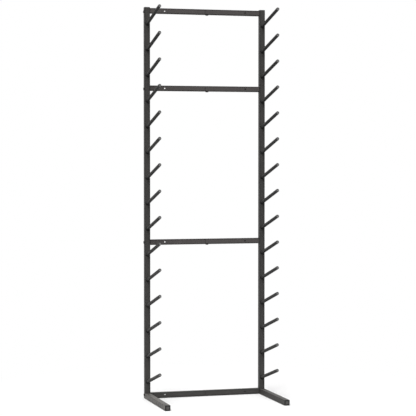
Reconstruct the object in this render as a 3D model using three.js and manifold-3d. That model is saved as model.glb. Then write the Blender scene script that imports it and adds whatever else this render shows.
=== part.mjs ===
// Floor-standing blueprint storage rack, in millimetres.
// X runs across the rack, Y from the front to the back, Z up. The origin is on the floor,
// in the middle of the rack's footprint.
import * as THREE from "three";
import { mergeVertices } from "three/addons/utils/BufferGeometryUtils.js";
import Module from "manifold-3d";

const wasm = await Module();
wasm.setup();

// Overall sizes
const rackWidth = 578; // across the outer faces of the uprights
const footLength = 390; // front to back, over the end plug

// Square tube of the uprights and the feet
const tubeSize = 25;
const tubeWall = 1.2;
const tubeCorner = 1.8; // radius of the outer corners
const minCorner = 0.4; // smallest radius of an inner corner

// Flatter tube of the rails
const railHeight = 25;
const railDepth = 20; // the rails lie flush with the back of the uprights

// Pegs, tilted up towards the front
const pegPitch = 117.5; // height from one peg to the next
const pegsPerSection = 6; // on the lower and the middle section of an upright
const pegsOnTopSection = 3;
const legLift = 12.5; // extra height of the lower section under its first pitch
const pegRise = 42; // from the start of a section's first pitch to the axis of its first peg
const pegRadius = 7.5;
const pegWall = 1.2;
const pegLength = 233; // from the upright's front face to the end of the tube
const pegInset = 5; // how far a peg reaches in through the upright's front wall
const pegTilt = THREE.MathUtils.degToRad(15);

// Plug in the end of a peg
const pegPlugFlange = 2;
const pegPlugSkirt = 12;
const pegPlugWall = 1.2;

// Rails, measured to their centre lines
const bottomRailLift = 1.5; // clear height under the bottom rail
const lowerRailDrop = 20.5; // below the joint of the lower and the middle section
const upperRailDrop = 17.5; // below the joint of the middle and the top section
const topRailDrop = 16; // below the top of the rack
const fixingHoleRadius = 3.25;
const fixingHoleInset = 70; // from a rail's outer end to the wall fixing hole in its front wall
const fixingHoleShift = 5; // the hole in its back wall lies this much nearer to the rack's middle

// Tube sleeves that join the sections of the uprights and the halves of the rails
const sleeveWall = 1.5;
const sleeveClearance = 6; // free height between a sleeve and the nearest peg
const sleeveWeld = 10; // length of sleeve that is welded into its tube
const sleeveBite = 0.1; // depth of that weld into the tube's wall
const joinerLength = 90; // sleeve inside the middle of a rail
const railSeam = 1.5; // gap between the two halves of a rail, over the joiner

// Bolts with button heads, and the nuts welded inside the rails
const boltRadius = 3;
const headRadius = 7;
const headHeight = 3;
const headRim = 1.2; // height of the head's straight edge
const socketWidth = 4; // across the flats of the hexagon socket
const socketDepth = 2;
const boltTail = 1.7; // thread that stands past the nut
const nutWidth = 10; // across the flats
const nutHeight = 5;
const endPlate = 3; // plate welded into a rail's outer end
const endBoltDrop = 21; // from the top of an upright's section to the bolt through it
const footBoltHeight = 16.3; // of the bolt through a foot
const centreBoltOffset = 11; // from the middle of the rack to the bolt under a rail

// Plastic plugs in the ends of the tubes
const plugFlange = 2.5;
const plugWall = 1.5;
const plugSkirt = 15; // in the front end of a foot
const plugEdge = 0.6; // chamfer round the visible edge
const plugSetback = 0.2; // how far the flange stays inside the tube's outline
const skirtClearance = 2; // between the top cap's skirt and the bolt under it

// Fits and cuts
const fitGap = 0.3; // gap between neighbouring pieces
const overrun = 1; // how far a cutting shape runs past the face that it cuts
const cornerSegments = 2; // on a tube's rounded corner; an arc gets two for each of its curveSegments
const roundSides = 12;
const boltSides = 10;
const hexagonSides = 6;

// Places worked out from the sizes
const backFace = footLength / 2;
const uprightX = rackWidth / 2 - tubeSize / 2;
const uprightY = backFace - tubeSize / 2;
const railY = backFace - railDepth / 2;
const pitchStart = tubeSize + legLift;
const lowerJoint = pitchStart + pegsPerSection * pegPitch;
const upperJoint = lowerJoint + pegsPerSection * pegPitch;
const rackHeight = upperJoint + pegsOnTopSection * pegPitch;
const pegLevels = 2 * pegsPerSection + pegsOnTopSection;
const pegReachDown = (pegRadius + fitGap) / Math.cos(pegTilt) + pegInset * Math.sin(pegTilt);
const sleeveAbove = pegRise - pegReachDown - sleeveClearance;
const sleeveBelow = pegPitch - pegRise - pegReachDown - sleeveClearance;
const bottomRailHeight = bottomRailLift + railHeight / 2;
const railInner = { height: railHeight - 2 * tubeWall, depth: railDepth - 2 * tubeWall };
const tubeInner = tubeSize - 2 * tubeWall;
const lowHeadHeight = bottomRailLift - 2 * fitGap; // head under the bottom rail, clear of the floor
const topTubeEnd = rackHeight - plugFlange;
const railEndX = rackWidth / 2 - tubeSize - fitGap;
const railHalfLength = railEndX - railSeam / 2;
const quarterTurn = Math.PI / 2;

// Finishes
const powderCoat = new THREE.MeshStandardMaterial({ color: 0x4a4846, roughness: 0.55, metalness: 0.25 });
const pegCoat = new THREE.MeshStandardMaterial({ color: 0x454342, roughness: 0.5, metalness: 0.25 });
const blackPlastic = new THREE.MeshStandardMaterial({ color: 0x242424, roughness: 0.6, metalness: 0 });
const blackSteel = new THREE.MeshStandardMaterial({ color: 0x1f1f20, roughness: 0.4, metalness: 0.6 });

// A closed three.js geometry as a solid that can be joined and cut.
function solidOf(geometry) {
  const bare = geometry.clone();
  bare.deleteAttribute("normal");
  bare.deleteAttribute("uv");
  const merged = mergeVertices(bare);
  return new wasm.Manifold(
    new wasm.Mesh({
      numProp: 3,
      vertProperties: merged.attributes.position.array,
      triVerts: new Uint32Array(merged.index.array),
    }),
  );
}

// The finished solid as a three.js geometry with flat faces.
function geometryOf(solid) {
  const mesh = solid.getMesh();
  const indexed = new THREE.BufferGeometry();
  indexed.setAttribute("position", new THREE.BufferAttribute(mesh.vertProperties, mesh.numProp));
  indexed.setIndex(new THREE.BufferAttribute(mesh.triVerts, 1));
  const geometry = indexed.toNonIndexed();
  geometry.computeVertexNormals();
  return geometry;
}

function roundedRectangle(path, width, depth, corner) {
  const right = width / 2;
  const back = depth / 2;
  path.moveTo(right, corner - back);
  path.absarc(right - corner, back - corner, corner, 0, Math.PI / 2);
  path.absarc(corner - right, back - corner, corner, Math.PI / 2, Math.PI);
  path.absarc(corner - right, corner - back, corner, Math.PI, 1.5 * Math.PI);
  path.absarc(right - corner, corner - back, corner, 1.5 * Math.PI, 2 * Math.PI);
  path.closePath();
  return path;
}

// A rectangular tube that stands on the XY plane, centred on the Z axis.
function tubeSolid(width, depth, corner, wall, length) {
  const outline = roundedRectangle(new THREE.Shape(), width, depth, corner);
  const boreCorner = Math.max(corner - wall, minCorner);
  const bore = roundedRectangle(new THREE.Path(), width - 2 * wall, depth - 2 * wall, boreCorner);
  outline.holes.push(bore);
  const options = { depth: length, bevelEnabled: false, curveSegments: cornerSegments / 2 };
  return solidOf(new THREE.ExtrudeGeometry(outline, options));
}

function blockSolid(width, depth, corner, length) {
  const outline = roundedRectangle(new THREE.Shape(), width, depth, corner);
  const options = { depth: length, bevelEnabled: false, curveSegments: cornerSegments / 2 };
  return solidOf(new THREE.ExtrudeGeometry(outline, options));
}

// A block whose upper edge is chamfered.
function flangeSolid(size, corner, height, edge) {
  const innerCorner = Math.max(corner - edge, minCorner);
  const outline = roundedRectangle(new THREE.Shape(), size - 2 * edge, size - 2 * edge, innerCorner);
  const geometry = new THREE.ExtrudeGeometry(outline, {
    depth: height - edge,
    bevelEnabled: true,
    bevelThickness: edge,
    bevelSize: edge,
    bevelSegments: 1,
    curveSegments: cornerSegments / 2,
  });
  const below = blockSolid(size + 2 * overrun, size + 2 * overrun, corner, edge + overrun);
  return solidOf(geometry).subtract(below.translate([0, 0, -edge - overrun]));
}

// A bar from the start point along the direction: round, or with six sides a hexagon.
function barSolid(radius, sides, start, direction, length) {
  const geometry = new THREE.CylinderGeometry(radius, radius, length, sides);
  geometry.rotateX(Math.PI / 2).translate(0, 0, length / 2);
  const turn = new THREE.Quaternion().setFromUnitVectors(new THREE.Vector3(0, 0, 1), direction);
  geometry.applyQuaternion(turn).translate(start.x, start.y, start.z);
  return solidOf(geometry);
}

const along = {
  x: new THREE.Vector3(1, 0, 0),
  y: new THREE.Vector3(0, 1, 0),
  z: new THREE.Vector3(0, 0, 1),
};
const pegDirection = new THREE.Vector3(0, -Math.cos(pegTilt), Math.sin(pegTilt));

// The radius over the corners of a hexagon that measures this width across its flats.
function hexagonRadius(width) {
  return width / 2 / Math.cos(Math.PI / hexagonSides);
}

// A hexagon nut that stands on the start point, its weld a little way into the wall under it.
function nutSolid(start, direction) {
  const root = start.clone().addScaledVector(direction, -sleeveBite);
  return barSolid(hexagonRadius(nutWidth), hexagonSides, root, direction, nutHeight + sleeveBite);
}

// A hole for a bolt across the whole of a tube, along X.
function crossHole(z, y, size) {
  const start = new THREE.Vector3(-size / 2 - overrun, y, z);
  return barSolid(boltRadius + fitGap, boltSides, start, along.x, size + 2 * overrun);
}

// A sleeve that stands in the end of a tube: its lowest stretch is welded to the tube's wall.
function sleeveSolid(innerWidth, innerDepth, length) {
  const corner = tubeCorner - tubeWall;
  const looseWidth = innerWidth - 2 * fitGap;
  const looseDepth = innerDepth - 2 * fitGap;
  const loose = tubeSolid(looseWidth, looseDepth, corner, sleeveWall, length);
  const weldWidth = innerWidth + 2 * sleeveBite;
  const weldDepth = innerDepth + 2 * sleeveBite;
  const weldWall = sleeveWall + fitGap + sleeveBite;
  const welded = tubeSolid(weldWidth, weldDepth, corner, weldWall, sleeveWeld);
  return loose.add(welded);
}

function pegHeight(level) {
  return pitchStart + pegRise + pegPitch * level;
}

// The hole for a peg in an upright's front wall, along the tilted peg.
function pegHole(height) {
  const start = new THREE.Vector3(0, -tubeSize / 2, height);
  start.addScaledVector(pegDirection, -pegInset - overrun);
  const length = pegInset + pegRadius + 2 * overrun;
  return barSolid(pegRadius + fitGap, roundSides, start, pegDirection, length);
}

// One section of an upright, standing on its own lower end.
function uprightSection(section) {
  const start = section.bottom + fitGap;
  const length = section.top - start;
  let solid = tubeSolid(tubeSize, tubeSize, tubeCorner, tubeWall, length);
  if (section.hasSleeve) {
    const sleeve = sleeveSolid(tubeInner, tubeInner, sleeveBelow + sleeveAbove);
    solid = solid.add(sleeve.translate([0, 0, length - sleeveBelow]));
  }
  solid = solid.subtract(crossHole(section.bolt - start, railY - uprightY, tubeSize));
  for (let level = 0; level < pegLevels; level += 1) {
    const height = pegHeight(level);
    if (height > section.bottom && height < section.top) {
      solid = solid.subtract(pegHole(height - start));
    }
  }
  return solid;
}

// A peg along Z, with z = 0 where its axis meets the upright's face. It is a tube, open at its
// root, and the plug in its front end is part of it.
function pegSolid() {
  const boreRadius = pegRadius - pegWall;
  const plugBore = boreRadius - pegPlugWall;
  const flangeRadius = pegRadius - plugSetback;
  const front = pegLength + pegPlugFlange;
  const profile = [
    new THREE.Vector2(0, pegLength),
    new THREE.Vector2(plugBore, pegLength),
    new THREE.Vector2(plugBore, pegLength - pegPlugSkirt),
    new THREE.Vector2(boreRadius, pegLength - pegPlugSkirt),
    new THREE.Vector2(boreRadius, -pegInset),
    new THREE.Vector2(pegRadius, -pegInset),
    new THREE.Vector2(pegRadius, pegLength),
    new THREE.Vector2(flangeRadius, pegLength),
    new THREE.Vector2(flangeRadius, front - plugEdge),
    new THREE.Vector2(flangeRadius - plugEdge, front),
    new THREE.Vector2(0, front),
  ];
  return solidOf(new THREE.LatheGeometry(profile, roundSides).rotateX(Math.PI / 2));
}

// A bolt along Z: the head stands on z = 0, and the shank reaches down from it.
function boltSolid(height, rim, socket, shankLength) {
  const crownRadius = headRadius - (height - rim);
  const profile = [
    new THREE.Vector2(0, -shankLength),
    new THREE.Vector2(boltRadius, -shankLength),
    new THREE.Vector2(boltRadius, 0),
    new THREE.Vector2(headRadius, 0),
    new THREE.Vector2(headRadius, rim),
    new THREE.Vector2(crownRadius, height),
    new THREE.Vector2(0, height),
  ];
  const bolt = solidOf(new THREE.LatheGeometry(profile, boltSides).rotateX(Math.PI / 2));
  const start = new THREE.Vector3(0, 0, height - socket);
  const socketRadius = hexagonRadius(socketWidth);
  return bolt.subtract(barSolid(socketRadius, hexagonSides, start, along.z, socket + overrun));
}

// Half of a wall fixing hole: through the rail's front or back wall, up to the middle of its depth.
function fixingHole(outward, inset) {
  const start = new THREE.Vector3(0, 0, inset);
  return barSolid(fixingHoleRadius, roundSides, start, outward, railDepth / 2 + overrun);
}

// Half a rail, along Z from its outer end to the middle of the rack, with the welded end plate
// and nut for its end bolt. Its section has the rail's height along X, with its underside on the
// positive side, and its depth along Y. The bolt lies boltDrop under the middle of the rail.
function railHalf(boltDrop, front) {
  const plateHeight = railInner.height + 2 * sleeveBite;
  const plateDepth = railInner.depth + 2 * sleeveBite;
  const plate = blockSolid(plateHeight, plateDepth, tubeCorner - tubeWall, endPlate);
  const nut = nutSolid(new THREE.Vector3(boltDrop, 0, endPlate), along.z);
  const threadStart = new THREE.Vector3(boltDrop, 0, -overrun);
  const threadLength = endPlate + nutHeight + 2 * overrun;
  const thread = barSolid(boltRadius + fitGap, boltSides, threadStart, along.z, threadLength);
  return tubeSolid(railHeight, railDepth, tubeCorner, tubeWall, railHalfLength)
    .add(plate)
    .add(nut)
    .subtract(thread)
    .subtract(fixingHole(front, fixingHoleInset))
    .subtract(fixingHole(front.clone().negate(), fixingHoleInset + fixingHoleShift));
}

// The hole for the centre bolt, through the underside, which faces along X here.
function centreBoltHole(centre) {
  const start = new THREE.Vector3(0, 0, centre);
  return barSolid(boltRadius + fitGap, boltSides, start, along.x, railHeight / 2 + overrun);
}

// The left half carries the joiner, with a nut welded inside its bottom wall.
function leftRailHalf(boltDrop) {
  const joiner = sleeveSolid(railInner.height, railInner.depth, joinerLength);
  const centre = railEndX + centreBoltOffset;
  const joinerFloor = railHeight / 2 - tubeWall - fitGap - sleeveWall;
  const nut = nutSolid(new THREE.Vector3(joinerFloor, 0, centre), along.x.clone().negate());
  return railHalf(boltDrop, along.y.clone().negate())
    .add(joiner.translate([0, 0, railHalfLength - joinerLength / 2]))
    .add(nut)
    .subtract(centreBoltHole(centre));
}

function rightRailHalf(boltDrop) {
  return railHalf(boltDrop, along.y).subtract(centreBoltHole(railEndX - centreBoltOffset));
}

// The spigot on a foot, which holds the upright. It starts halfway through the foot's top wall.
function spigotSolid() {
  const size = tubeInner - 2 * fitGap;
  const root = tubeWall / 2;
  const length = root + legLift + sleeveAbove;
  const spigot = tubeSolid(size, size, tubeCorner - tubeWall, sleeveWall, length);
  return spigot.rotate([0, 90, 0]).translate([tubeSize / 2 - root, 0, tubeSize / 2]);
}

// A foot along Z, from its open back end to its plugged front end. Its section has the upward
// direction along X.
function footSolid() {
  const plugPlace = footLength - plugFlange;
  const tube = tubeSolid(tubeSize, tubeSize, tubeCorner, tubeWall, plugPlace);
  const flangeSize = tubeSize - 2 * plugSetback;
  const flange = flangeSolid(flangeSize, tubeCorner, plugFlange + sleeveBite, plugEdge);
  const skirtSize = tubeInner + 2 * sleeveBite;
  const skirtLength = plugSkirt + plugFlange / 2;
  const skirt = tubeSolid(skirtSize, skirtSize, tubeCorner - tubeWall, plugWall, skirtLength);
  const boltUp = footBoltHeight - tubeSize / 2;
  const boltStart = new THREE.Vector3(boltUp, -tubeSize / 2 - overrun, railDepth / 2);
  const boltLength = tubeSize + 2 * overrun;
  return tube
    .add(flange.translate([0, 0, plugPlace - sleeveBite]))
    .add(skirt.translate([0, 0, plugPlace - plugSkirt]))
    .add(spigotSolid())
    .subtract(barSolid(boltRadius + fitGap, boltSides, boltStart, along.y, boltLength));
}

// The cap in the top end of an upright, with z = 0 under its flange.
function topCapSolid() {
  const skirtLength = endBoltDrop - plugFlange - boltRadius - fitGap - skirtClearance;
  const size = tubeInner - 2 * fitGap;
  const skirt = tubeSolid(size, size, tubeCorner - tubeWall, plugWall, skirtLength + sleeveBite);
  const flange = flangeSolid(tubeSize - 2 * plugSetback, tubeCorner, plugFlange, plugEdge);
  return flange.add(skirt.translate([0, 0, -skirtLength]));
}

const rack = new THREE.Group();

function place(name, solid, material, position, rotation = [0, 0, 0]) {
  const mesh = new THREE.Mesh(geometryOf(solid), material);
  mesh.name = name;
  mesh.position.set(...position);
  mesh.rotation.set(...rotation);
  rack.add(mesh);
}

// The rails, each with the height of its middle and of its end bolts.
const rails = [
  { name: "bottom", height: bottomRailHeight, bolts: footBoltHeight },
  { name: "lower", height: lowerJoint - lowerRailDrop, bolts: lowerJoint - endBoltDrop },
  { name: "upper", height: upperJoint - upperRailDrop, bolts: upperJoint - endBoltDrop },
  { name: "top", height: rackHeight - topRailDrop, bolts: rackHeight - endBoltDrop },
];

// The sections of an upright, each with its two ends and the bolt for the rail near its top.
const sections = [
  { name: "lower", bottom: tubeSize, top: lowerJoint, bolt: rails[1].bolts, hasSleeve: true },
  { name: "middle", bottom: lowerJoint, top: upperJoint, bolt: rails[2].bolts, hasSleeve: true },
  { name: "top", bottom: upperJoint, top: topTubeEnd - fitGap, bolt: rails[3].bolts, hasSleeve: false },
];

const peg = pegSolid();
const foot = footSolid();
const topCap = topCapSolid();
const endBoltLength = tubeSize + fitGap + endPlate + nutHeight + boltTail;
const endBolt = boltSolid(headHeight, headRim, socketDepth, endBoltLength);
const centreBoltLength = tubeWall + fitGap + sleeveWall + nutHeight + boltTail;
const centreBolt = boltSolid(headHeight, headRim, socketDepth, centreBoltLength);
const lowHeadRim = lowHeadHeight / 2;
const lowCentreBolt = boltSolid(lowHeadHeight, lowHeadRim, lowHeadRim, centreBoltLength);

for (const side of [-1, 1]) {
  const sideName = side < 0 ? "left" : "right";
  const x = side * uprightX;
  const footTurn = [quarterTurn, 0, quarterTurn];
  place(`${sideName}_foot`, foot, powderCoat, [x, backFace, tubeSize / 2], footTurn);
  for (const section of sections) {
    const name = `${sideName}_upright_${section.name}`;
    place(name, uprightSection(section), powderCoat, [x, uprightY, section.bottom + fitGap]);
  }
  place(`${sideName}_top_cap`, topCap, blackPlastic, [x, uprightY, topTubeEnd]);
  for (let level = 0; level < pegLevels; level += 1) {
    const name = `${sideName}_peg_${String(level + 1).padStart(2, "0")}`;
    const pegTurn = [quarterTurn - pegTilt, 0, 0];
    place(name, peg, pegCoat, [x, backFace - tubeSize, pegHeight(level)], pegTurn);
  }
}

for (const rail of rails) {
  const { height, bolts } = rail;
  const name = `${rail.name}_rail`;
  const leftHalf = leftRailHalf(height - bolts);
  place(`${name}_left`, leftHalf, powderCoat, [-railEndX, railY, height], [0, quarterTurn, 0]);
  const rightHalf = rightRailHalf(height - bolts);
  const rightTurn = [Math.PI, -quarterTurn, 0];
  place(`${name}_right`, rightHalf, powderCoat, [railEndX, railY, height], rightTurn);
  const headX = rackWidth / 2 + fitGap;
  place(`${name}_left_bolt`, endBolt, blackSteel, [-headX, railY, bolts], [0, -quarterTurn, 0]);
  place(`${name}_right_bolt`, endBolt, blackSteel, [headX, railY, bolts], [0, quarterTurn, 0]);
  const bolt = rail.name === "bottom" ? lowCentreBolt : centreBolt;
  const headZ = height - railHeight / 2 - fitGap;
  place(`${name}_centre_bolt`, bolt, blackSteel, [centreBoltOffset, railY, headZ], [Math.PI, 0, 0]);
}

export default rack;
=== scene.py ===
import math

import bmesh
import bpy
from mathutils import Matrix, Vector


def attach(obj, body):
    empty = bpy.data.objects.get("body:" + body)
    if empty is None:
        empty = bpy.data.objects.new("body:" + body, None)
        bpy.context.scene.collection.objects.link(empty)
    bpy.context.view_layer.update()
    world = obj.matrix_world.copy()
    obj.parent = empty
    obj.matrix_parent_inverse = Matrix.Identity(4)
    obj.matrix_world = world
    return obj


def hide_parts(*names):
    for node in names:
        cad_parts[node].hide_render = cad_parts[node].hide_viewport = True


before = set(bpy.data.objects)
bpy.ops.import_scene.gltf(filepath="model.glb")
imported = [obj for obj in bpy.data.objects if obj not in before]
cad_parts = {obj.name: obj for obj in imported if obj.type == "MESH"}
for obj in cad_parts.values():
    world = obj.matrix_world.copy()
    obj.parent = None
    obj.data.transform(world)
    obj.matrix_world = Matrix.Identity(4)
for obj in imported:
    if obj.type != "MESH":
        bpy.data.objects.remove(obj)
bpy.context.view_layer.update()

# The camera stands to the left of the rack at chest height, about seven metres away, and looks
# slightly down through a long lens. Everything is in focus.
camera_place = (-2.0275, -6.9196, 1.1233)
camera_dip = 0.0333
camera_turn = -0.2801
camera_lens = 137.6
camera_sensor = 36

scene = bpy.context.scene
scene.view_settings.view_transform = "Standard"
camera_body = bpy.data.cameras.new("rack_camera")
camera_body.sensor_width = camera_sensor
camera_body.lens = camera_lens
camera = bpy.data.objects.new("rack_camera", camera_body)
camera.location = camera_place
camera.rotation_euler = (math.pi / 2 - camera_dip, 0, camera_turn)
scene.collection.objects.link(camera)
scene.camera = camera

# The room is a pale floor under a plain soft light: an even surround, a broad lamp high up in
# front on the left, and a broader one overhead. The floor's edge fades into the white behind it.
surround_light = 0.33
front_lamp = {"strength": 2.3, "from": (-0.3, -0.64, 0.7), "spread": 0.7}
overhead_lamp = {"strength": 1.6, "from": (-0.15, -0.1, 1), "spread": 1.0}
floor_side = 14
floor_drop = 0.0004  # below the feet, so that no two faces lie in one plane
floor_as_seen = 0.84  # its tone to the camera
floor_near = 0.4  # its tone to the light that it throws back, under the rack
floor_far = 0.12  # and further off
floor_fade = (0.45, 1.3)  # where it fades, as distances from the middle


def add_node(tree, kind, **settings):
    made = tree.nodes.new(kind)
    for name, value in settings.items():
        setattr(made, name, value)
    return made


def add_math(tree, operation, *inputs):
    made = add_node(tree, "ShaderNodeMath", operation=operation)
    for place, value in enumerate(inputs):
        if isinstance(value, bpy.types.NodeSocket):
            tree.links.new(value, made.inputs[place])
        else:
            made.inputs[place].default_value = value
    return made.outputs[0]


def backdrop_rays(tree):
    """1 for the rays that should meet a white surround: the camera's own and those in gloss or glass."""
    path = add_node(tree, "ShaderNodeLightPath")
    seen = add_math(tree, "MAXIMUM", path.outputs["Is Camera Ray"], path.outputs["Is Glossy Ray"])
    return add_math(tree, "MAXIMUM", seen, path.outputs["Is Transmission Ray"])


surround = bpy.data.worlds.new("soft_surround")
surround.use_nodes = True
scene.world = surround
tree = surround.node_tree
tree.nodes.clear()
lit = add_node(tree, "ShaderNodeBackground")
lit.inputs["Strength"].default_value = surround_light
white = add_node(tree, "ShaderNodeBackground")
white.inputs["Strength"].default_value = 1
for background in (lit, white):
    background.inputs["Color"].default_value = (1, 1, 1, 1)
mix = add_node(tree, "ShaderNodeMixShader")
result = add_node(tree, "ShaderNodeOutputWorld")
tree.links.new(backdrop_rays(tree), mix.inputs["Fac"])
tree.links.new(lit.outputs[0], mix.inputs[1])
tree.links.new(white.outputs[0], mix.inputs[2])
tree.links.new(mix.outputs[0], result.inputs["Surface"])

for name, lamp in (("front_lamp", front_lamp), ("overhead_lamp", overhead_lamp)):
    light = bpy.data.lights.new(name, "SUN")
    light.energy = lamp["strength"]
    light.angle = lamp["spread"]
    holder = bpy.data.objects.new(name, light)
    holder.rotation_euler = Vector(lamp["from"]).to_track_quat("Z", "Y").to_euler()
    scene.collection.objects.link(holder)

floor_paint = bpy.data.materials.new("pale_floor")
floor_paint.use_nodes = True
tree = floor_paint.node_tree
tree.nodes.clear()
seen = backdrop_rays(tree)
coordinates = add_node(tree, "ShaderNodeTexCoord")
reach = add_node(tree, "ShaderNodeVectorMath", operation="LENGTH")
tree.links.new(coordinates.outputs["Object"], reach.inputs[0])
fade = add_node(tree, "ShaderNodeMapRange", interpolation_type="SMOOTHSTEP")
fade.inputs["From Min"].default_value = floor_fade[0]
fade.inputs["From Max"].default_value = floor_fade[1]
tree.links.new(reach.outputs["Value"], fade.inputs["Value"])
as_light = add_math(tree, "MULTIPLY_ADD", fade.outputs["Result"], floor_far - floor_near, floor_near)
paler = add_math(tree, "SUBTRACT", floor_as_seen, as_light)
tone = add_math(tree, "MULTIPLY_ADD", paler, seen, as_light)
matt = add_node(tree, "ShaderNodeBsdfDiffuse")
tree.links.new(tone, matt.inputs["Color"])
glow = add_node(tree, "ShaderNodeEmission")
mix = add_node(tree, "ShaderNodeMixShader")
tree.links.new(add_math(tree, "MULTIPLY", fade.outputs["Result"], seen), mix.inputs["Fac"])
tree.links.new(matt.outputs[0], mix.inputs[1])
tree.links.new(glow.outputs[0], mix.inputs[2])
result = add_node(tree, "ShaderNodeOutputMaterial")
tree.links.new(mix.outputs[0], result.inputs["Surface"])

sheet = bmesh.new()
bmesh.ops.create_grid(sheet, x_segments=1, y_segments=1, size=floor_side / 2)
floor_mesh = bpy.data.meshes.new("floor")
sheet.to_mesh(floor_mesh)
sheet.free()
floor_mesh.materials.append(floor_paint)
floor = bpy.data.objects.new("floor", floor_mesh)
floor.location.z = -floor_drop
scene.collection.objects.link(floor)

# The two feet are square steel tubes that lie on the floor and reach forwards. Each carries a
# welded spigot that holds its upright. They are powder coated in a dark charcoal with a fine peel.
tube_size = 0.025
tube_wall = 0.0012
tube_corner = 0.0018
foot_length = 0.39
rack_width = 0.578
plug_flange = 0.0025
fit_gap = 0.0003
back_face = foot_length / 2
upright_x = rack_width / 2 - tube_size / 2
upright_y = back_face - tube_size / 2
rail_depth = 0.02
foot_bolt_height = 0.0163
bolt_radius = 0.003
bolt_hole = bolt_radius + fit_gap
pitch_above_foot = 0.0125  # from the foot to where the pegs' even pitch starts
peg_rise = 0.042  # from the start of its pitch to a peg
peg_radius = 0.0075
peg_inset = 0.005
peg_tilt = math.radians(15)
peg_reach_down = (peg_radius + fit_gap) / math.cos(peg_tilt) + peg_inset * math.sin(peg_tilt)
sleeve_wall = 0.0015
sleeve_clearance = 0.006  # from a sleeve's end to the nearest peg
sleeve_above = peg_rise - peg_reach_down - sleeve_clearance
sleeve_inner_corner = 0.0004
corner_segments = 6
hole_segments = 24
edge_rounding = 0.0004  # of tubes and nuts
fine_rounding = 0.0003  # of sleeves and pegs
sharp_angle = 1.2  # an edge that turns more than this is rounded
smooth_angle = math.radians(50)  # an edge that turns less than this is shaded smoothly
foot_colour = (0.036, 0.0345, 0.033)
# painted shade: the colour that darkens the rounded edges of a coat
edge_shade_colour = (0.02, 0.0195, 0.019)
coat_rubbed = (0.12, 0.116, 0.112)
scuff_colour = (0.175, 0.16, 0.138)
# partly the colour of dust, partly painted light on upward faces
dust_and_top_light_colour = (0.24, 0.23, 0.22)
# painted shade: sleeves, spigots and joiners are near-black so that the seams over them read as shaded
# lines
seam_shade_colour = (0.02, 0.02, 0.02)


def new_group(name, inputs, outputs):
    group = bpy.data.node_groups.new(name, "ShaderNodeTree")
    for socket, kind in inputs:
        group.interface.new_socket(name=socket, in_out="INPUT", socket_type="NodeSocket" + kind)
    for socket, kind in outputs:
        group.interface.new_socket(name=socket, in_out="OUTPUT", socket_type="NodeSocket" + kind)
    return group, add_node(group, "NodeGroupInput").outputs, add_node(group, "NodeGroupOutput").inputs


def noise(tree, vector, grain, detail=2.0, roughness=0.5):
    """Noise whose lumps are about one grain wide, in metres."""
    made = add_node(tree, "ShaderNodeTexNoise")
    made.inputs["Detail"].default_value = detail
    made.inputs["Roughness"].default_value = roughness
    tree.links.new(vector, made.inputs["Vector"])
    if isinstance(grain, bpy.types.NodeSocket):
        tree.links.new(add_math(tree, "DIVIDE", 1.0, grain), made.inputs["Scale"])
    else:
        made.inputs["Scale"].default_value = 1 / grain
    return made.outputs["Fac"]


def spread(tree, value, low, high, out_low=0.0, out_high=1.0):
    """The value between low and high, stretched smoothly over the output range."""
    made = add_node(tree, "ShaderNodeMapRange", interpolation_type="SMOOTHSTEP")
    tree.links.new(value, made.inputs["Value"])
    numbers = {"From Min": low, "From Max": high, "To Min": out_low, "To Max": out_high}
    for name, number in numbers.items():
        made.inputs[name].default_value = number
    return made.outputs["Result"]


def absolute_parts(tree, vector):
    """How far a vector reaches along x, y and z, either way."""
    sizes = add_node(tree, "ShaderNodeVectorMath", operation="ABSOLUTE")
    tree.links.new(vector, sizes.inputs[0])
    parts = add_node(tree, "ShaderNodeSeparateXYZ")
    tree.links.new(sizes.outputs[0], parts.inputs[0])
    return parts.outputs


# Slow drift of tone over a surface, around 1.
tone_drift, ins, outs = new_group(
    "tone_drift", [("Vector", "Vector"), ("Patch", "Float"), ("Amount", "Float")], [("Tone", "Float")]
)
wander = add_math(tone_drift, "SUBTRACT", noise(tone_drift, ins["Vector"], ins["Patch"], 3.0), 0.5)
wander = add_math(tone_drift, "MULTIPLY", wander, ins["Amount"])
tone_drift.links.new(add_math(tone_drift, "ADD", wander, 1.0), outs["Tone"])

# The fine peel of a baked coat or of moulded plastic, as a height around 1.
coat_peel, ins, outs = new_group(
    "coat_peel", [("Vector", "Vector"), ("Grain", "Float"), ("Pinholes", "Float")], [("Height", "Float")]
)
lumps = noise(coat_peel, ins["Vector"], ins["Grain"], 2.0, 0.6)
waves = noise(coat_peel, ins["Vector"], add_math(coat_peel, "MULTIPLY", ins["Grain"], 5.0), 1.0)
pits = noise(coat_peel, ins["Vector"], add_math(coat_peel, "MULTIPLY", ins["Grain"], 2.0), 0.0)
pits = add_math(coat_peel, "MULTIPLY", spread(coat_peel, pits, 0.74, 0.8), ins["Pinholes"])
height = add_math(coat_peel, "ADD", lumps, waves)
coat_peel.links.new(add_math(coat_peel, "SUBTRACT", height, pits), outs["Height"])

# The rounded edges, which face none of the main directions, in patches: for wear where hands and floors
# have rubbed them, and for painted shade on them.
edge_rub_and_shade, ins, outs = new_group(
    "edge_rub_and_shade",
    [("Normal", "Vector"), ("Vector", "Vector"), ("Patchiness", "Float"), ("Amount", "Float")],
    [("Mask", "Float")],
)
along_x, along_y, along_z = absolute_parts(edge_rub_and_shade, ins["Normal"])
facing = add_math(edge_rub_and_shade, "MAXIMUM", along_x, along_y)
facing = add_math(edge_rub_and_shade, "MAXIMUM", facing, along_z)
corner = spread(edge_rub_and_shade, add_math(edge_rub_and_shade, "SUBTRACT", 1.0, facing), 0.02, 0.14)
patchy = spread(edge_rub_and_shade, noise(edge_rub_and_shade, ins["Vector"], 0.018, 4.0, 0.65), 0.42, 0.68)
patchy = add_math(edge_rub_and_shade, "MULTIPLY_ADD", patchy, ins["Patchiness"], 1.0)
patchy = add_math(edge_rub_and_shade, "SUBTRACT", patchy, ins["Patchiness"])
rubbed = add_math(edge_rub_and_shade, "MULTIPLY", corner, patchy)
edge_rub_and_shade.links.new(add_math(edge_rub_and_shade, "MULTIPLY", rubbed, ins["Amount"]), outs["Mask"])
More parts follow.
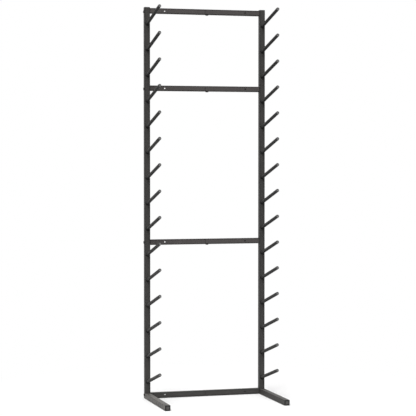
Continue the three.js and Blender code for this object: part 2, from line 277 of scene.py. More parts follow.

# Thin dust that settles on what faces up, which also stands as painted light on the upward faces.
dust_and_top_light, ins, outs = new_group(
    "dust_and_top_light", [("Normal", "Vector"), ("Vector", "Vector"), ("Amount", "Float")], [("Mask", "Float")]
)
parts = add_node(dust_and_top_light, "ShaderNodeSeparateXYZ")
dust_and_top_light.links.new(ins["Normal"], parts.inputs[0])
upward = spread(dust_and_top_light, parts.outputs[2], 0.55, 1.0)
specks = spread(dust_and_top_light, noise(dust_and_top_light, ins["Vector"], 0.006, 5.0, 0.7), 0.35, 0.75)
dusty = add_math(dust_and_top_light, "MULTIPLY", upward, specks)
dust_and_top_light.links.new(add_math(dust_and_top_light, "MULTIPLY", dusty, ins["Amount"]), outs["Mask"])

# Scuffs from shoes and from carrying: ragged paler patches about a centimetre wide.
scuff_marks, ins, outs = new_group(
    "scuff_marks", [("Vector", "Vector"), ("Size", "Float"), ("Amount", "Float")], [("Mask", "Float")]
)
patches = spread(scuff_marks, noise(scuff_marks, ins["Vector"], ins["Size"], 5.0, 0.7), 0.42, 0.66)
scuff_marks.links.new(add_math(scuff_marks, "MULTIPLY", patches, ins["Amount"]), outs["Mask"])

# Painted shade in a soft, uneven band along each edge of a tube. Section is the place in the tube's own
# section, from -1 to 1 across both ways.
edge_shade_bands, ins, outs = new_group(
    "edge_shade_bands", [("Section", "Vector"), ("Vector", "Vector"), ("Amount", "Float")], [("Mask", "Float")]
)
along_x, along_y, _ = absolute_parts(edge_shade_bands, ins["Section"])
near_edge = spread(edge_shade_bands, add_math(edge_shade_bands, "MINIMUM", along_x, along_y), 0.5, 0.82)
uneven = spread(edge_shade_bands, noise(edge_shade_bands, ins["Vector"], 0.012, 3.0, 0.6), 0.3, 0.7, 0.7, 1.0)
uneven = add_math(edge_shade_bands, "MULTIPLY", uneven, ins["Amount"])
edge_shade_bands.links.new(add_math(edge_shade_bands, "MULTIPLY", near_edge, uneven), outs["Mask"])


def use_group(tree, group, **inputs):
    made = add_node(tree, "ShaderNodeGroup", node_tree=group)
    for name, value in inputs.items():
        if isinstance(value, bpy.types.NodeSocket):
            tree.links.new(value, made.inputs[name])
        else:
            made.inputs[name].default_value = value
    return made.outputs[0]


def own_section(tree):
    """The place in a piece's own section, which into_rack gives to its mesh."""
    return add_node(tree, "ShaderNodeAttribute", attribute_name="section").outputs["Vector"]


def toned(tree, colour, tone):
    """The colour, paler or darker by the tone."""
    made = add_node(tree, "ShaderNodeVectorMath", operation="SCALE")
    made.inputs[0].default_value = colour
    tree.links.new(tone, made.inputs["Scale"])
    return made.outputs[0]


def blend_colour(tree, factor, below, above):
    made = add_node(tree, "ShaderNodeMix", data_type="RGBA")
    tree.links.new(factor, made.inputs["Factor"])
    for name, value in (("A", below), ("B", above)):
        socket = next(s for s in made.inputs if s.name == name and s.type == "RGBA")
        if isinstance(value, bpy.types.NodeSocket):
            tree.links.new(value, socket)
        else:
            socket.default_value = (*value, 1)
    return next(s for s in made.outputs if s.type == "RGBA")


def new_finish(name, metallic=0.0, sheen=0.5):
    """A material with its shader, and the object coordinates and normal that its pattern reads."""
    finish = bpy.data.materials.new(name)
    finish.use_nodes = True
    shader = finish.node_tree.nodes["Principled BSDF"]
    shader.inputs["Metallic"].default_value = metallic
    shader.inputs["Specular IOR Level"].default_value = sheen
    source = add_node(finish.node_tree, "ShaderNodeTexCoord")
    return finish, finish.node_tree, shader, source.outputs["Object"], source.outputs["Normal"]


def connect_finish(tree, shader, colour, roughness, height, relief):
    tree.links.new(colour, shader.inputs["Base Color"])
    tree.links.new(roughness, shader.inputs["Roughness"])
    bump = add_node(tree, "ShaderNodeBump")
    bump.inputs["Strength"].default_value = 1
    bump.inputs["Distance"].default_value = relief
    tree.links.new(height, bump.inputs["Height"])
    tree.links.new(bump.outputs[0], shader.inputs["Normal"])


def baked_coat(name, colour, roughness, rub, top_dust_and_light, scuffs=0.03, sheen=0.12, edge_shade_amount=0.8, shade_bands=0.0):
    """A powder coat with a fine peel. Its rounded edges, and bands beside them, are darkened as painted
    shade, and the edges are rubbed paler in places. It is scuffed, and paler on what faces up: partly
    dust, partly painted light from above."""
    finish, tree, shader, place, normal = new_finish(name, sheen=sheen)
    tone = use_group(tree, tone_drift, Vector=place, Patch=0.09, Amount=0.35)
    fine_tone = use_group(tree, tone_drift, Vector=place, Patch=0.0035, Amount=0.3)
    base = toned(tree, colour, add_math(tree, "MULTIPLY", tone, fine_tone))
    # painted shade on the rounded edges
    edge_shade_mask = use_group(tree, edge_rub_and_shade, Normal=normal, Vector=place, Patchiness=0.3, Amount=edge_shade_amount)
    if shade_bands:
        # painted shade in bands beside the edges
        band_shade = use_group(tree, edge_shade_bands, Section=own_section(tree), Vector=place, Amount=shade_bands)
        edge_shade_mask = add_math(tree, "MAXIMUM", edge_shade_mask, band_shade)
    worn = use_group(tree, edge_rub_and_shade, Normal=normal, Vector=place, Patchiness=1.0, Amount=rub)
    dust_and_top_light_mask = use_group(tree, dust_and_top_light, Normal=normal, Vector=place, Amount=top_dust_and_light)
    painted = blend_colour(tree, edge_shade_mask, base, edge_shade_colour)
    painted = blend_colour(tree, worn, painted, coat_rubbed)
    scuffed = use_group(tree, scuff_marks, Vector=place, Size=0.011, Amount=scuffs)
    painted = blend_colour(tree, scuffed, painted, scuff_colour)
    painted = blend_colour(tree, dust_and_top_light_mask, painted, dust_and_top_light_colour)
    drift = use_group(tree, tone_drift, Vector=place, Patch=0.03, Amount=0.22)
    gloss = add_math(tree, "MULTIPLY", drift, roughness)
    gloss = add_math(tree, "SUBTRACT", gloss, add_math(tree, "MULTIPLY", worn, 0.12))
    gloss = add_math(tree, "ADD", gloss, add_math(tree, "MULTIPLY", dust_and_top_light_mask, 0.3))
    height = use_group(tree, coat_peel, Vector=place, Grain=0.0007, Pinholes=0.5)
    connect_finish(tree, shader, painted, gloss, height, relief=0.00003)
    return finish


def rounded_outline(shape, width, depth, corner):
    """A flat face with rounded corners, in the middle of the XY plane."""
    bmesh.ops.create_grid(shape, x_segments=1, y_segments=1, size=0.5)
    bmesh.ops.scale(shape, vec=(width, depth, 1), verts=shape.verts[:])
    bmesh.ops.bevel(
        shape, geom=shape.verts[:], offset=corner, offset_type="OFFSET", segments=corner_segments,
        profile=0.5, affect="VERTICES", material=-1,
    )
    return shape.faces[:]


def pull_up(shape, faces, length):
    """Extrudes the faces upwards into a closed solid."""
    grown = bmesh.ops.extrude_face_region(shape, geom=faces)["geom"]
    top = [part for part in grown if isinstance(part, bmesh.types.BMVert)]
    bmesh.ops.translate(shape, vec=(0, 0, length), verts=top)
    bmesh.ops.recalc_face_normals(shape, faces=shape.faces[:])


def rolled_tube(width, depth, corner, wall, length):
    """A rectangular tube that stands on the XY plane, its section centred on Z."""
    shape = bmesh.new()
    outline = rounded_outline(shape, width, depth, corner)
    rim = bmesh.ops.inset_region(
        shape, faces=outline, thickness=wall, use_even_offset=True, use_boundary=True
    )["faces"]
    bmesh.ops.delete(shape, geom=[f for f in shape.faces if f not in rim], context="FACES")
    pull_up(shape, shape.faces[:], length)
    return shape


def drill(shape, side, faces_at, centre, radius, slant=0.0):
    """A round hole through one wall. faces_at says how far the wall's outer and inner face lie from
    the middle, and slant is the angle at which the drill points upwards as it comes out."""
    side = Vector(side)
    margin = 0.0012  # from the hole to the cuts above and below it
    same_place = 1e-5
    reach = radius / math.cos(slant) + margin
    for end in (-reach, reach):
        everything = shape.verts[:] + shape.edges[:] + shape.faces[:]
        bmesh.ops.bisect_plane(
            shape, geom=everything, dist=1e-7, plane_co=(0, 0, centre.z + end), plane_no=(0, 0, 1)
        )
    rims = []
    outer = faces_at[0]
    for distance, outward in zip(faces_at, (1, -1)):
        patch = [
            face for face in shape.faces
            if face.normal.dot(side) * outward > 0.999
            and abs(face.calc_center_median().dot(side) - distance) < same_place
            and abs(face.calc_center_median().z - centre.z) < reach
        ]
        border = [e for e in shape.edges if sum(f in patch for f in e.link_faces) == 1]
        bmesh.ops.delete(shape, geom=patch, context="FACES")
        middle = centre + side * distance - Vector((0, 0, (outer - distance) * math.tan(slant)))
        turn = side.to_track_quat("Z", "Y").to_matrix().to_4x4()
        ring = bmesh.ops.create_circle(
            shape, segments=hole_segments, radius=radius, matrix=Matrix.Translation(middle) @ turn
        )["verts"]
        stretch = (1, 1, 1 / math.cos(slant))
        bmesh.ops.scale(shape, vec=stretch, space=Matrix.Translation(-middle), verts=ring)
        rim = [e for e in shape.edges if e.verts[0] in ring and e.verts[1] in ring]
        bmesh.ops.triangle_fill(shape, use_beauty=True, edges=border + rim, normal=side * outward)
        rims += rim
    bmesh.ops.bridge_loops(shape, edges=rims)
    bmesh.ops.recalc_face_normals(shape, faces=shape.faces[:])


def ease_edges(shape, amount):
    """Rounds every sharp edge a little, as a deburred and coated edge is."""
    sharp = [e for e in shape.edges if e.is_manifold and e.calc_face_angle() > sharp_angle]
    bmesh.ops.bevel(
        shape, geom=sharp, offset=amount, offset_type="OFFSET", segments=2, profile=0.5,
        affect="EDGES", clamp_overlap=True, material=-1,
    )


def into_rack(shape, name, place, finish, slot, *stands_for, section=None):
    """Puts a finished shape into the rack: its place goes into its mesh. section is the width and
    depth of a tube or plug whose finish follows its edges. The shape is used up."""
    if section:
        across = shape.verts.layers.float_vector.new("section")
        for vert in shape.verts:
            vert[across] = (2 * vert.co.x / section[0], 2 * vert.co.y / section[1], 0)
    bmesh.ops.transform(shape, matrix=place, verts=shape.verts[:])
    mesh = bpy.data.meshes.new(name)
    shape.to_mesh(mesh)
    shape.free()
    mesh.shade_smooth()
    mesh.set_sharp_from_angle(angle=smooth_angle)
    mesh.materials.append(finish)
    piece = bpy.data.objects.new(name, mesh)
    scene.collection.objects.link(piece)
    shading = piece.modifiers.new("even_shading", "WEIGHTED_NORMAL")
    shading.keep_sharp = True
    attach(piece, "root")
    if stands_for:
        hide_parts(*stands_for)


# The left foot's coat has more scuffs and more gloss than the right one's. The scuffs are wear, but the
# left foot made paler than the right is painted light from the left.
lit_and_shaded_foot_coats = {
    "left": baked_coat(
        "scuffed_lit_foot_coat", foot_colour, roughness=0.5, rub=0.3, top_dust_and_light=0.15, scuffs=0.75, sheen=0.3,
        shade_bands=0.9,
    ),
    "right": baked_coat(
        "shaded_foot_coat", foot_colour, roughness=0.55, rub=0.2, top_dust_and_light=0.15, scuffs=0.2, sheen=0.18,
        shade_bands=0.9,
    ),
}
# a near-black coat for the parts seen through the seams: painted shade in the seams
seam_shade_coat = baked_coat("sleeve_seam_shade_coat", seam_shade_colour, roughness=0.6, rub=0.1, top_dust_and_light=0.0)
sides = (("left", -upright_x), ("right", upright_x))
both_ways = ((-1, 0, 0), (1, 0, 0))
tube_section = (tube_size, tube_size)
tube_faces = (tube_size / 2, tube_size / 2 - tube_wall)
spigot_size = tube_size - 2 * tube_wall - 2 * fit_gap
sleeve_corner = sleeve_wall + sleeve_inner_corner
lie_forward = Matrix.Rotation(math.pi / 2, 4, "X")

for side_name, x in sides:
    foot = rolled_tube(tube_size, tube_size, tube_corner, tube_wall, foot_length - plug_flange)
    bolt_place = Vector((0, foot_bolt_height - tube_size / 2, rail_depth / 2))
    for outward in both_ways:
        drill(foot, outward, tube_faces, bolt_place, bolt_hole)
    ease_edges(foot, edge_rounding)
    foot_place = Matrix.Translation((x, back_face, tube_size / 2)) @ lie_forward
    name = f"{side_name}_foot"
    into_rack(
        foot, f"{name}_tube", foot_place, lit_and_shaded_foot_coats[side_name], "powder_coat", name,
        section=tube_section,
    )
    spigot = rolled_tube(
        spigot_size, spigot_size, sleeve_corner, sleeve_wall, pitch_above_foot + sleeve_above
    )
    ease_edges(spigot, fine_rounding)
    spigot_place = Matrix.Translation((x, upright_y, tube_size))
    into_rack(spigot, f"{name}_spigot", spigot_place, seam_shade_coat, "powder_coat")

# A dark moulded plug closes the front end of each foot. Its face stands on the end of the tube with a
# rounded edge, and its hollow skirt grips the inside. The face is paler in the middle than at its rim,
# whose darker colour is painted shade on the rounded edge.
plug_wall = 0.0015
plug_skirt = 0.015
plug_setback = 0.0002
plug_rounding = 0.0008
# painted shade: the plug's rim is darker than its middle
plug_rim_shade_colour = (0.012, 0.012, 0.0123)
foot_plug_colour = (0.078, 0.0755, 0.073)
plastic_rubbed = (0.09, 0.088, 0.086)


def moulded_plastic(name, colour, sheen=0.5, middle=None):
    """Dark polyethylene: a soft sheen, a fine moulding grain and a few paler scuffs. The middle of the
    face may be given another colour, which leaves the darker rim as painted shade on the rounded edge."""
    finish, tree, shader, place, normal = new_finish(name, sheen=sheen)
    tone = use_group(tree, tone_drift, Vector=place, Patch=0.008, Amount=0.5)
    painted = toned(tree, colour, tone)
    worn = use_group(tree, edge_rub_and_shade, Normal=normal, Vector=place, Patchiness=1.0, Amount=0.4)
    if middle:
        along_x, along_y, _ = absolute_parts(tree, own_section(tree))
        inside = spread(tree, add_math(tree, "MAXIMUM", along_x, along_y), 0.5, 0.68, 1.0, 0.0)
        painted = blend_colour(tree, inside, painted, middle)
        worn = add_math(tree, "MULTIPLY", worn, 0.3)
    scuffs = spread(tree, noise(tree, place, 0.003, 6.0, 0.75), 0.56, 0.72, 0.0, 0.5)
    worn = add_math(tree, "MAXIMUM", worn, scuffs)
    painted = blend_colour(tree, worn, painted, plastic_rubbed)
    dust_and_top_light_mask = use_group(tree, dust_and_top_light, Normal=normal, Vector=place, Amount=0.05)
    painted = blend_colour(tree, dust_and_top_light_mask, painted, dust_and_top_light_colour)
    gloss = add_math(tree, "ADD", add_math(tree, "MULTIPLY", tone, 0.42), scuffs)
    height = use_group(tree, coat_peel, Vector=place, Grain=0.0004, Pinholes=0.0)
    connect_finish(tree, shader, painted, gloss, height, relief=0.000012)
    return finish


def tube_plug(flange_size, flange, rounding, skirt_size, skirt):
    """A plug that stands on the XY plane: a flat face with a rounded edge over a hollow skirt."""
    shape = bmesh.new()
    face = rounded_outline(shape, flange_size, flange_size, tube_corner)
    pull_up(shape, face, flange)
    top = [f for f in shape.faces if f.normal.z > 0.9]
    rim = top[0].edges[:]
    bmesh.ops.bevel(
        shape, geom=rim, offset=rounding, offset_type="OFFSET", segments=4, profile=0.5,
        affect="EDGES", material=-1,
    )
    under = [f for f in shape.faces if f.normal.z < -0.9]
    bmesh.ops.inset_region(shape, faces=under, thickness=(flange_size - skirt_size) / 2)
    ring = bmesh.ops.inset_region(shape, faces=under, thickness=plug_wall)["faces"]
    grown = bmesh.ops.extrude_face_region(shape, geom=ring)["geom"]
    end = [part for part in grown if isinstance(part, bmesh.types.BMVert)]
    bmesh.ops.translate(shape, vec=(0, 0, -skirt), verts=end)
    bmesh.ops.delete(shape, geom=[f for f in ring if f.is_valid], context="FACES_ONLY")
    bmesh.ops.recalc_face_normals(shape, faces=shape.faces[:])
    return shape


foot_plastic = moulded_plastic(
    "charcoal_plastic", plug_rim_shade_colour, sheen=0.2, middle=foot_plug_colour
)
flange_size = tube_size - 2 * plug_setback
for side_name, x in sides:
    plug = tube_plug(flange_size, plug_flange, plug_rounding, spigot_size, plug_skirt)
    plug_place = Matrix.Translation((x, plug_flange - back_face, tube_size / 2)) @ lie_forward
    into_rack(
        plug, f"{side_name}_foot_plug", plug_place, foot_plastic, "cap_plastic",
        section=(flange_size, flange_size),
    )

# Each upright is three lengths of the same square steel tube, powder coated like the feet, one
# standing on the other. A sleeve welded in the top of a lower length holds the next one, and a
# faint line shows between them.
peg_pitch = 0.1175
pegs_by_section = (6, 6, 3)
peg_levels = sum(pegs_by_section)
pitch_start = tube_size + pitch_above_foot
lower_joint = pitch_start + pegs_by_section[0] * peg_pitch
upper_joint = lower_joint + pegs_by_section[1] * peg_pitch
rack_height = upper_joint + pegs_by_section[2] * peg_pitch
top_tube_end = rack_height - plug_flange
end_bolt_drop = 0.021
rail_y = back_face - rail_depth / 2
sleeve_below = peg_pitch - peg_rise - peg_reach_down - sleeve_clearance
upright_sections = (
    ("lower", tube_size, lower_joint, lower_joint - end_bolt_drop, True),
    ("middle", lower_joint, upper_joint, upper_joint - end_bolt_drop, True),
    ("top", upper_joint, top_tube_end - fit_gap, rack_height - end_bolt_drop, False),
)
coat_colour = (0.058, 0.056, 0.054)
frame_coat = baked_coat(
    "charcoal_coat", coat_colour, roughness=0.55, rub=0.2, top_dust_and_light=0.08, shade_bands=0.5
)


def peg_height(level):
    return pitch_start + peg_rise + peg_pitch * level


for side_name, x in sides:
    for length, bottom, top, bolt_height, has_sleeve in upright_sections:
        start = bottom + fit_gap
        upright = rolled_tube(tube_size, tube_size, tube_corner, tube_wall, top - start)
        for level in range(peg_levels):
            height = peg_height(level)
            if bottom < height < top:
                peg_place = Vector((0, 0, height - start))
                drill(upright, (0, -1, 0), tube_faces, peg_place, peg_radius + fit_gap, peg_tilt)
        bolt_place = Vector((0, rail_y - upright_y, bolt_height - start))
        for outward in both_ways:
            drill(upright, outward, tube_faces, bolt_place, bolt_hole)
        ease_edges(upright, edge_rounding)
        name = f"{side_name}_upright_{length}"
        place = Matrix.Translation((x, upright_y, start))
        into_rack(
            upright, f"{name}_tube", place, frame_coat, "powder_coat", name, section=tube_section
        )
        if has_sleeve:
            sleeve = rolled_tube(
                spigot_size, spigot_size, sleeve_corner, sleeve_wall, sleeve_below + sleeve_above
            )
            ease_edges(sleeve, fine_rounding)
            place = Matrix.Translation((x, upright_y, top - sleeve_below))
            into_rack(sleeve, f"{name}_sleeve", place, seam_shade_coat, "powder_coat")

# The pegs are round steel tubes that tilt up towards the front, with a dark powder coat. Each goes
# through a hole in the upright's front wall and is held by a fillet of weld, coated over with it. The
# weld's coat is near-black, as painted shade round the peg's root.
peg_wall = 0.0012
peg_length = 0.233
peg_steps = 32
weld_leg = 0.0022
# The fillet's section, as shares of its leg: out from the peg, and along it.
weld_section = ((0.0, 0.0), (1.0, 0.0), (0.93, 0.28), (0.68, 0.6), (0.34, 0.86), (0.0, 1.0))
weld_ripples = 18
weld_ripple_share = 0.11
# painted shade: near-black, for the shade round each peg's root
weld_shade_colour = (0.012, 0.012, 0.012)
peg_colour = (0.03, 0.029, 0.0285)


def turned(profile, steps, closed=False):
    """A solid turned about Z from points of radius and height, whose ends lie on the axis or meet."""
    shape = bmesh.new()
    points = [shape.verts.new((radius, 0, height)) for radius, height in profile]
    edges = [shape.edges.new(pair) for pair in zip(points, points[1:])]
    if closed:
        edges.append(shape.edges.new((points[-1], points[0])))
    bmesh.ops.spin(
        shape, geom=points + edges, cent=(0, 0, 0), axis=(0, 0, 1), angle=2 * math.pi, steps=steps,
        use_merge=True,
    )
    bmesh.ops.remove_doubles(shape, verts=shape.verts[:], dist=1e-6)
    bmesh.ops.recalc_face_normals(shape, faces=shape.faces[:])
    return shape


def weld_fillet():
    """A ring of weld on a flat face, with its ripples, sheared to follow the tilted peg."""
    profile = [(peg_radius + out * weld_leg, up * weld_leg) for out, up in weld_section]
    shape = turned(profile, 3 * weld_ripples, closed=True)
    for vert in shape.verts:
        radius = math.hypot(vert.co.x, vert.co.y)
        around = math.atan2(vert.co.y, vert.co.x)
        swell = 1 + weld_ripple_share * math.sin(weld_ripples * around)
        vert.co.z *= swell
        on_the_peg = radius <= peg_radius * 1.001
        if not on_the_peg:
            grown = (peg_radius + (radius - peg_radius) * swell) / radius
            vert.co.x *= grown
            vert.co.y *= grown
    follow_peg = Matrix((
        (1, 0, 0, 0),
        (0, 0, -1, 0),
        (0, 1 / math.cos(peg_tilt), math.tan(peg_tilt), 0),
        (0, 0, 0, 1),
    ))
    bmesh.ops.transform(shape, matrix=follow_peg, verts=shape.verts[:])
    bmesh.ops.recalc_face_normals(shape, faces=shape.faces[:])
    return shape


weld_shade_coat = baked_coat(
    "weld_painted_shade_coat", weld_shade_colour, roughness=0.5, rub=0.0, top_dust_and_light=0.0, scuffs=0.0, edge_shade_amount=0.0
)
# The pegs' upward sides are paler: partly dust, partly painted light from above.
peg_coat = baked_coat(
    "peg_coat", peg_colour, roughness=0.5, rub=0.0, top_dust_and_light=0.3, sheen=0.08, edge_shade_amount=0.0
)
peg_turn = Matrix.Rotation(math.pi / 2 - peg_tilt, 4, "X")
peg_bore = peg_radius - peg_wall
peg_ends = (-peg_inset, peg_length)
rod_profile = [
    (peg_bore, peg_ends[0] + fine_rounding), (peg_bore + fine_rounding, peg_ends[0]),
    (peg_radius - fine_rounding, peg_ends[0]), (peg_radius, peg_ends[0] + fine_rounding),
    (peg_radius, peg_ends[1] - fine_rounding), (peg_radius - fine_rounding, peg_ends[1]),
    (peg_bore + fine_rounding, peg_ends[1]), (peg_bore, peg_ends[1] - fine_rounding),
]
front_face = back_face - tube_size
for side_name, x in sides:
    for level in range(peg_levels):
        name = f"{side_name}_peg_{level + 1:02d}"
        root = Matrix.Translation((x, front_face, peg_height(level)))
        rod = turned(rod_profile, peg_steps, closed=True)
        into_rack(rod, f"{name}_rod", root @ peg_turn, peg_coat, "peg_coat", name)
        into_rack(weld_fillet(), f"{name}_weld", root, weld_shade_coat, "powder_coat")

# A black moulded plug closes the front end of each peg. Its flange is as wide as the peg, with a rounded
# edge, and its dished face is a little paler than its rim, as a painted highlight.
peg_plug_flange = 0.002
peg_plug_skirt = 0.012
peg_plug_wall = 0.0012
plug_hollow = 0.0006  # how far the skirt's hollow reaches into the flange
plug_gap = 0.00005  # between the plug and the tube
plug_lead_in = (0.0006, 0.001)  # the taper at the end of the skirt: how deep and how long
flange_back_edge = (0.0001, 0.0002)  # the flange's edge at the tube: in from its radius, and along
# The flange's front: how far each point lies in from its radius and behind the plug's front end.
flange_front = (
    (0, 0.0009), (0.0002, 0.0004), (0.0006, 0.0001), (0.0011, 0),
    (0.0018, 0.0001), (0.0024, 0.0005), (0.0036, 0.0008),
)
dish_depth = 0.0009
dark_rim = 0.0018  # its width
plastic_colour = (0.016, 0.016, 0.0165)
# painted highlight on the plug's face
face_highlight_colour = (0.13, 0.128, 0.125)


def highlit_plastic(name, rim):
    """Black polyethylene whose face inside its rim is painted paler, as a painted highlight broken up by
    noise. rim is where that starts, as a share of the radius.
    """
    finish, tree, shader, place, _ = new_finish(name)
    from_axis = add_node(tree, "ShaderNodeVectorMath", operation="LENGTH")
    tree.links.new(own_section(tree), from_axis.inputs[0])
    tone = use_group(tree, tone_drift, Vector=place, Patch=0.006, Amount=0.5)
    scuffs = spread(tree, noise(tree, place, 0.003, 6.0, 0.75), 0.3, 0.7, 0.55, 1.0)
    inside = spread(tree, from_axis.outputs["Value"], rim * 0.8, rim, 1.0, 0.0)
    worn = add_math(tree, "MULTIPLY", inside, scuffs)
    painted = blend_colour(tree, worn, toned(tree, plastic_colour, tone), face_highlight_colour)
    gloss = add_math(tree, "MULTIPLY_ADD", worn, 0.12, 0.42)
    height = use_group(tree, coat_peel, Vector=place, Grain=0.0004, Pinholes=0.0)
    connect_finish(tree, shader, painted, gloss, height, relief=0.000012)
    return finish


plug_radius = peg_radius - plug_setback
plug_bore = peg_bore - peg_plug_wall
plug_front = peg_length + peg_plug_flange
skirt_end = peg_length - peg_plug_skirt
plug_profile = [
    (0, peg_length + plug_hollow),
    (plug_bore, peg_length + plug_hollow),
    (plug_bore, skirt_end),
    (peg_bore - plug_lead_in[0], skirt_end),
    (peg_bore - plug_gap, skirt_end + plug_lead_in[1]),
    (peg_bore - plug_gap, peg_length + plug_gap),
    (plug_radius - flange_back_edge[0], peg_length + plug_gap),
    (plug_radius, peg_length + flange_back_edge[1]),
]
plug_profile += [(plug_radius - inwards, plug_front - behind) for inwards, behind in flange_front]
plug_profile.append((0, plug_front - dish_depth))
plug_plastic = highlit_plastic("black_plastic_painted_highlight", 1 - dark_rim / plug_radius)
for side_name, x in sides:
    for level in range(peg_levels):
        root = Matrix.Translation((x, front_face, peg_height(level)))
        into_rack(
            turned(plug_profile, peg_steps), f"{side_name}_peg_{level + 1:02d}_plug",
            root @ peg_turn, plug_plastic, "cap_plastic", section=(2 * plug_radius, 2 * plug_radius),
        )

# Four flat rails of powder-coated steel tie the uprights together. Each is two halves of
# rectangular tube that meet over a joiner in the middle of the rack, and a plate with a nut is
# welded in the outer end of each half.
rail_end_x = rack_width / 2 - tube_size - fit_gap
rail_seam = 0.0015
rail_half = rail_end_x - rail_seam / 2
rail_height = 0.025
bottom_rail_height = 0.014
lower_rail_drop = 0.0205  # from the joint or top above it to the rail's middle
upper_rail_drop = 0.0175
top_rail_drop = 0.016
rails = (
    ("bottom", bottom_rail_height, foot_bolt_height),
    ("lower", lower_joint - lower_rail_drop, lower_joint - end_bolt_drop),
    ("upper", upper_joint - upper_rail_drop, upper_joint - end_bolt_drop),
    ("top", rack_height - top_rail_drop, rack_height - end_bolt_drop),
)
fixing_hole = 0.00325  # radius
fixing_inset = 0.07  # from a rail's outer end to the hole in its front wall
fixing_shift = 0.005  # how much nearer to the rack's middle the hole in its back wall lies
centre_bolt_offset = 0.011  # to the right of the rack's middle
joiner_length = 0.09
end_plate = 0.003
plate_play = 0.0001  # by which a plate is smaller than the inside of its rail
nut_across = 0.01
nut_height = 0.005
rail_faces = (rail_height / 2, rail_height / 2 - tube_wall)
rail_sides = (rail_depth / 2, rail_depth / 2 - tube_wall)
rail_inner = (rail_height - 2 * tube_wall, rail_depth - 2 * tube_wall)
joiner_height = rail_inner[0] - 2 * fit_gap
joiner_depth = rail_inner[1] - 2 * fit_gap
joiner_faces = (joiner_height / 2, joiner_height / 2 - sleeve_wall)
# painted light: the rails above the bottom one are paler than the uprights' coat
rail_lit_colour = (0.09, 0.082, 0.081)
lit_rail_coat = baked_coat("lit_rail_coat", rail_lit_colour, roughness=0.55, rub=0.2, top_dust_and_light=0.05, shade_bands=0.85)


def pierce(shape, hole, thickness, aside=0.0):
    """Turns a flat outline into a plate with a round hole. aside is the hole's place along X."""
    outline = shape.edges[:]
    bmesh.ops.delete(shape, geom=shape.faces[:], context="FACES_ONLY")
    ring = bmesh.ops.create_circle(
        shape, segments=hole_segments, radius=hole, matrix=Matrix.Translation((aside, 0, 0))
    )["verts"]
    rim = [e for e in shape.edges if e.verts[0] in ring and e.verts[1] in ring]
    bmesh.ops.triangle_fill(shape, use_beauty=True, edges=outline + rim, normal=(0, 0, 1))
    pull_up(shape, shape.faces[:], thickness)


def hexagon(shape, across_flats, height=0.0):
    """Draws a flat hexagon at this height, its flats this far apart, and returns its corners."""
    radius = across_flats / 2 / math.cos(math.pi / 6)
    place = Matrix.Translation((0, 0, height))
    return bmesh.ops.create_circle(shape, segments=6, radius=radius, matrix=place)["verts"]


def hexagon_nut():
    shape = bmesh.new()
    hexagon(shape, nut_across)
    pierce(shape, bolt_hole, nut_height)
    ease_edges(shape, edge_rounding)
    return shape


for rail, height, bolt_height in rails:
    bolt_drop = height - bolt_height
    for side_name, sign in (("left", -1), ("right", 1)):
        outer_end = Matrix.Translation((sign * rail_end_x, rail_y, height))
        if sign > 0:
            outer_end = outer_end @ Matrix.Rotation(math.pi, 4, "Z")
        lie_across = outer_end @ Matrix.Rotation(math.pi / 2, 4, "Y")
        half = rolled_tube(rail_height, rail_depth, tube_corner, tube_wall, rail_half)
        front = Vector((0, sign, 0))
        drill(half, front, rail_sides, Vector((0, 0, fixing_inset)), fixing_hole)
        drill(half, -front, rail_sides, Vector((0, 0, fixing_inset + fixing_shift)), fixing_hole)
        if sign > 0:
            bolt_place = Vector((0, 0, rail_end_x - centre_bolt_offset))
            drill(half, (1, 0, 0), rail_faces, bolt_place, bolt_hole)
        ease_edges(half, edge_rounding)
        name = f"{rail}_rail_{side_name}"
        # The bottom rail keeps the uprights' darker coat, as painted shade near the floor, and the others
        # the paler one, as painted light.
        finish = frame_coat if rail == "bottom" else lit_rail_coat
        into_rack(
            half, f"{name}_tube", lie_across, finish, "powder_coat", name,
            section=(rail_height, rail_depth),
        )
        plate = bmesh.new()
        plate_sides = [side - plate_play for side in rail_inner]
        rounded_outline(plate, *plate_sides, tube_corner - tube_wall)
        pierce(plate, bolt_hole, end_plate, bolt_drop)
        into_rack(plate, f"{name}_end_plate", lie_across, frame_coat, "powder_coat")
        nut_place = lie_across @ Matrix.Translation((bolt_drop, 0, end_plate))
        into_rack(hexagon_nut(), f"{name}_nut", nut_place, frame_coat, "powder_coat")
    joiner = rolled_tube(joiner_height, joiner_depth, sleeve_corner, sleeve_wall, joiner_length)
    bolt_place = Vector((0, 0, joiner_length / 2 + centre_bolt_offset))
    drill(joiner, (1, 0, 0), joiner_faces, bolt_place, bolt_hole)
    ease_edges(joiner, fine_rounding)
    joiner_place = Matrix.Translation((-joiner_length / 2, rail_y, height))
    joiner_place = joiner_place @ Matrix.Rotation(math.pi / 2, 4, "Y")
    into_rack(joiner, f"{rail}_rail_joiner", joiner_place, seam_shade_coat, "powder_coat")
    nut_place = Matrix.Translation((centre_bolt_offset, rail_y, height - joiner_faces[1]))
    into_rack(hexagon_nut(), f"{rail}_rail_centre_nut", nut_place, frame_coat, "powder_coat")

# The rack is bolted together with button-head bolts of blackened steel: one through the outer side
# of an upright or foot into each rail end, and one up through the joint in the middle of each rail.
head_radius = 0.007
head_height = 0.003
low_head_height = 0.0009  # under the bottom rail, close to the floor
# The head's outline, as shares of its radius and height.
head_outline = ((0.66, 0.98), (0.8, 0.9), (0.91, 0.76), (0.975, 0.58), (1.0, 0.4), (1.0, 0.04))
head_chamfer = 0.0003
socket_across = 0.004
socket_depth = 0.002
socket_lip = 0.0004
bolt_steps = 30
bolt_tail = 0.0017  # past the nut
plain_shank = 0.002  # without a thread, under the head
unthreaded = 0.003  # in all, under the head and at the tip
tip_chamfer = 0.0006
thread_pitch = 0.001
thread_depth = 0.0005
bolt_colour = (0.008, 0.008, 0.0083)
bolt_rubbed = (0.08, 0.078, 0.076)


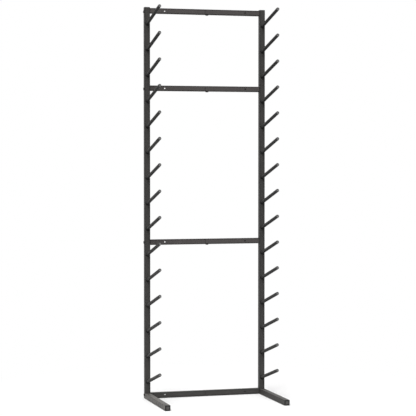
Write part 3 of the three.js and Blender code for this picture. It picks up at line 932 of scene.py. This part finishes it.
def blackened_steel(name):
    """Black oxide on steel: a dull metal sheen, a little brighter where a key and hands rub it."""
    finish, tree, shader, place, normal = new_finish(name, metallic=0.5, sheen=0.25)
    tone = use_group(tree, tone_drift, Vector=place, Patch=0.004, Amount=0.6)
    worn = use_group(tree, edge_rub_and_shade, Normal=normal, Vector=place, Patchiness=1.0, Amount=0.3)
    painted = blend_colour(tree, worn, toned(tree, bolt_colour, tone), bolt_rubbed)
    gloss = add_math(tree, "MULTIPLY", tone, 0.4)
    gloss = add_math(tree, "SUBTRACT", gloss, add_math(tree, "MULTIPLY", worn, 0.1))
    height = use_group(tree, coat_peel, Vector=place, Grain=0.0003, Pinholes=0.3)
    connect_finish(tree, shader, painted, gloss, height, relief=0.000008)
    return finish


def button_head_bolt(height, shank):
    """A bolt along Z: its domed head stands on z = 0, and its threaded shank hangs below."""
    lip = socket_across / 2 / math.cos(math.pi / 6) + socket_lip
    profile = [(lip, height)]
    profile += [(head_radius * out, height * up) for out, up in head_outline]
    profile += [(head_radius - head_chamfer, 0), (bolt_radius, 0), (bolt_radius, -plain_shank)]
    for turn in range(int((shank - unthreaded) / thread_pitch)):
        crest = -plain_shank - turn * thread_pitch
        profile.append((bolt_radius - thread_depth, crest - 0.5 * thread_pitch))
        profile.append((bolt_radius, crest - thread_pitch))
    profile += [(bolt_radius - tip_chamfer, -shank), (0, -shank)]
    shape = turned(profile, bolt_steps)
    open_rim = [e for e in shape.edges if e.is_boundary]
    corners = hexagon(shape, socket_across, height)
    rim = [e for e in shape.edges if e.verts[0] in corners and e.verts[1] in corners]
    bmesh.ops.triangle_fill(shape, use_beauty=True, edges=open_rim + rim, normal=(0, 0, 1))
    walls = bmesh.ops.extrude_edge_only(shape, edges=rim)["geom"]
    seat_verts = [part for part in walls if isinstance(part, bmesh.types.BMVert)]
    bmesh.ops.translate(shape, vec=(0, 0, -min(socket_depth, height / 2)), verts=seat_verts)
    seat_edges = [e for e in shape.edges if e.verts[0] in seat_verts and e.verts[1] in seat_verts]
    seat = bmesh.ops.contextual_create(shape, geom=seat_edges)["faces"]
    bmesh.ops.poke(shape, faces=seat, offset=0)
    bmesh.ops.recalc_face_normals(shape, faces=shape.faces[:])
    return shape


black_steel = blackened_steel("black_bolt_steel")
end_bolt_shank = tube_size + fit_gap + end_plate + nut_height + bolt_tail
centre_bolt_shank = tube_wall + fit_gap + sleeve_wall + nut_height + bolt_tail
for rail, height, bolt_height in rails:
    for side_name, sign in (("left", -1), ("right", 1)):
        bolt = button_head_bolt(head_height, end_bolt_shank)
        head_place = Matrix.Translation((sign * (rack_width / 2 + fit_gap), rail_y, bolt_height))
        head_place = head_place @ Matrix.Rotation(sign * math.pi / 2, 4, "Y")
        name = f"{rail}_rail_{side_name}_bolt"
        into_rack(bolt, f"{name}_steel", head_place, black_steel, "bolt_black", name)
    bolt = button_head_bolt(low_head_height if rail == "bottom" else head_height, centre_bolt_shank)
    head_place = Matrix.Translation((centre_bolt_offset, rail_y, height - rail_height / 2 - fit_gap))
    head_place = head_place @ Matrix.Rotation(math.pi, 4, "X")
    name = f"{rail}_rail_centre_bolt"
    into_rack(bolt, f"{name}_steel", head_place, black_steel, "bolt_black", name)

# A black moulded cap closes the top of each upright, like the plug in a foot but with a shorter
# skirt, which ends above the bolt of the top rail.
top_skirt = 0.0132
black_plastic = moulded_plastic("black_plastic", plastic_colour)
for side_name, x in sides:
    cap = tube_plug(flange_size, plug_flange, plug_rounding, spigot_size, top_skirt)
    place = Matrix.Translation((x, upright_y, top_tube_end))
    name = f"{side_name}_top_cap"
    into_rack(cap, f"{name}_plug", place, black_plastic, "cap_plastic", name)
